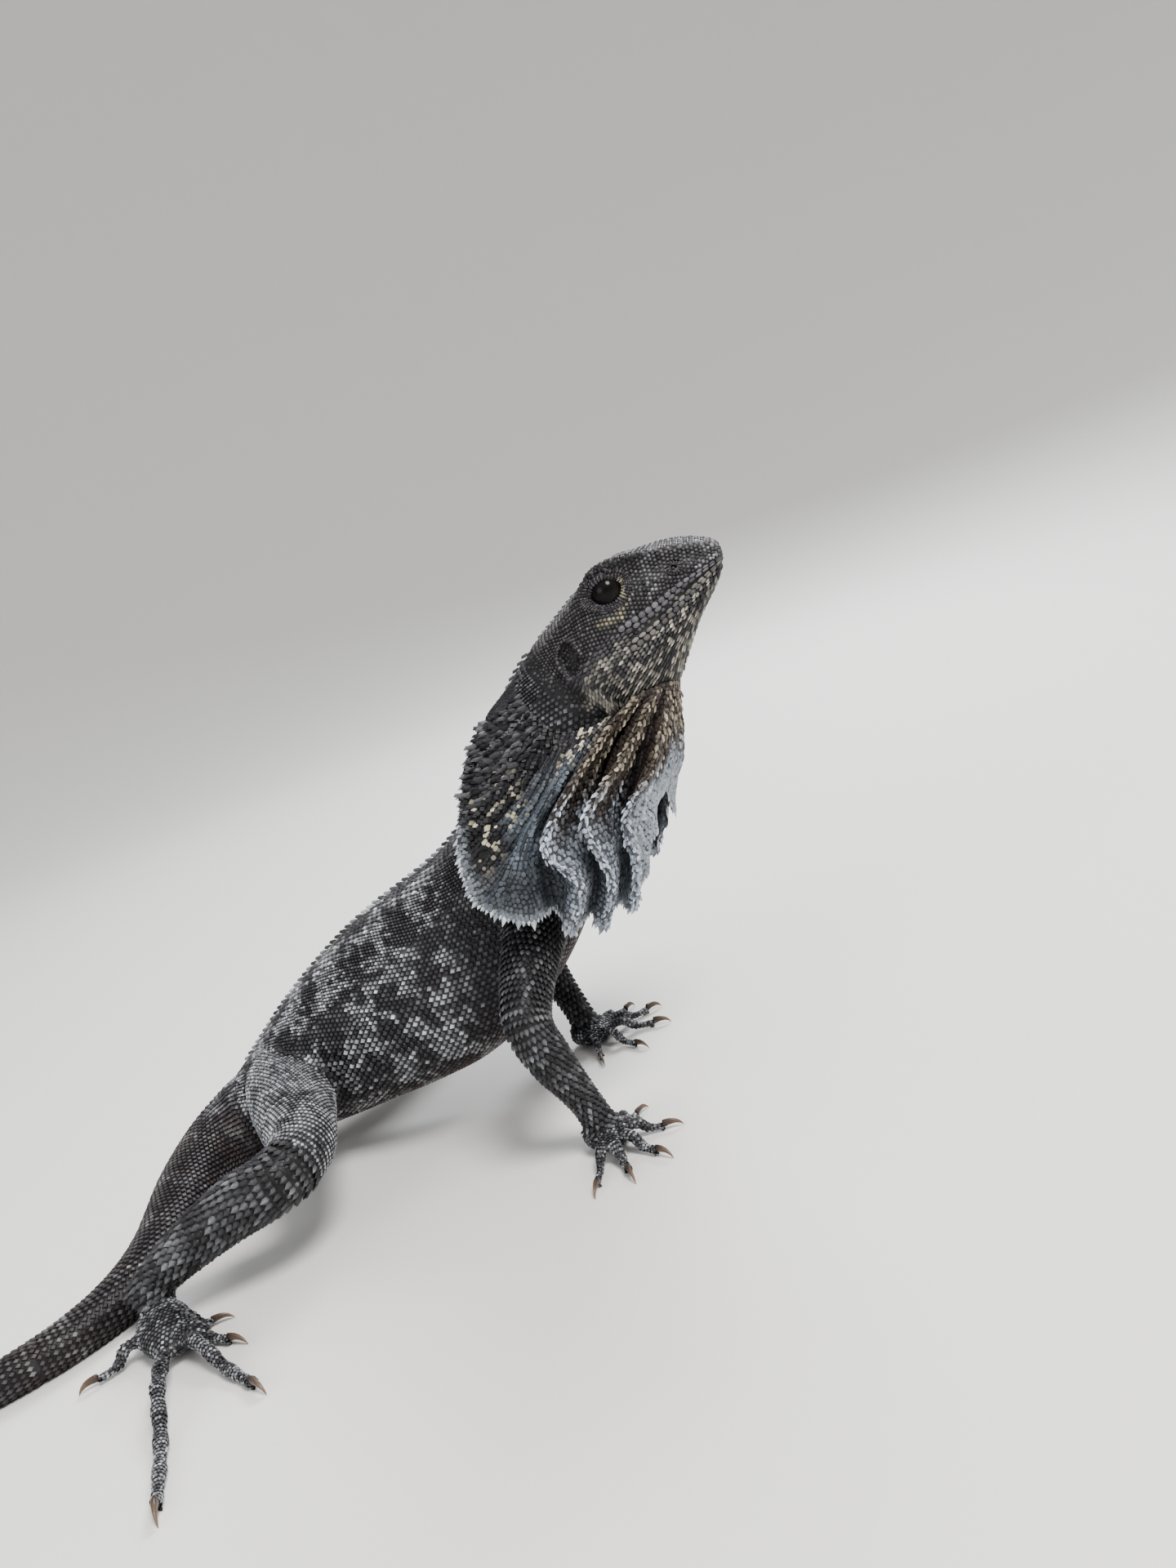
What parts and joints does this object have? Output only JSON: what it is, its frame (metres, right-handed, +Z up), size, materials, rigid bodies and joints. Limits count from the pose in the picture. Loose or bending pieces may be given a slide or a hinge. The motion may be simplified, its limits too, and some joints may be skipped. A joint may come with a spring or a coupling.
{
  "type": "frilled lizard, still life-size model",
  "caption": "Life-size frilled lizard, head up and forepart raised on both hands, frill folded in pleats, right hind foot out, long tail laid in a curve.",
  "frame": {"origin": "middle of the lizard's box on the plane that its hands, feet and tail rest on", "axes": "+X the way the lizard faces, from tail to snout; +Y its left side; +Z up"},
  "size_m": [0.5536, 0.2702, 0.1312],
  "materials": {
    "dark_scales": "dry keeled scales, charcoal with off-white blotches",
    "banded_scales": "dry keeled scales, dark with pale bands, brown claws",
    "frill_membrane": "thin dry skin, dark with pale yellow spots and a pale grey edge",
    "eye": "wet, glossy, nearly black"
  },
  "bodies": {
    "root": {"head": "dark_scales", "eye_right": "eye", "eye_left": "eye", "neck": "dark_scales", "frill_right": "frill_membrane", "frill_left": "frill_membrane", "torso": "dark_scales", "tail_1": "dark_scales", "tail_2": "dark_scales", "tail_3": "dark_scales", "tail_4": "dark_scales", "tail_5": "dark_scales", "upper_arm_right": "banded_scales", "forearm_right": "banded_scales", "hand_right": "banded_scales", "upper_arm_left": "banded_scales", "forearm_left": "banded_scales", "hand_left": "banded_scales", "thigh_right": "banded_scales", "shank_right": "banded_scales", "foot_right": "banded_scales", "thigh_left": "banded_scales", "shank_left": "banded_scales", "foot_left": "banded_scales"}
  },
  "joints": []
}
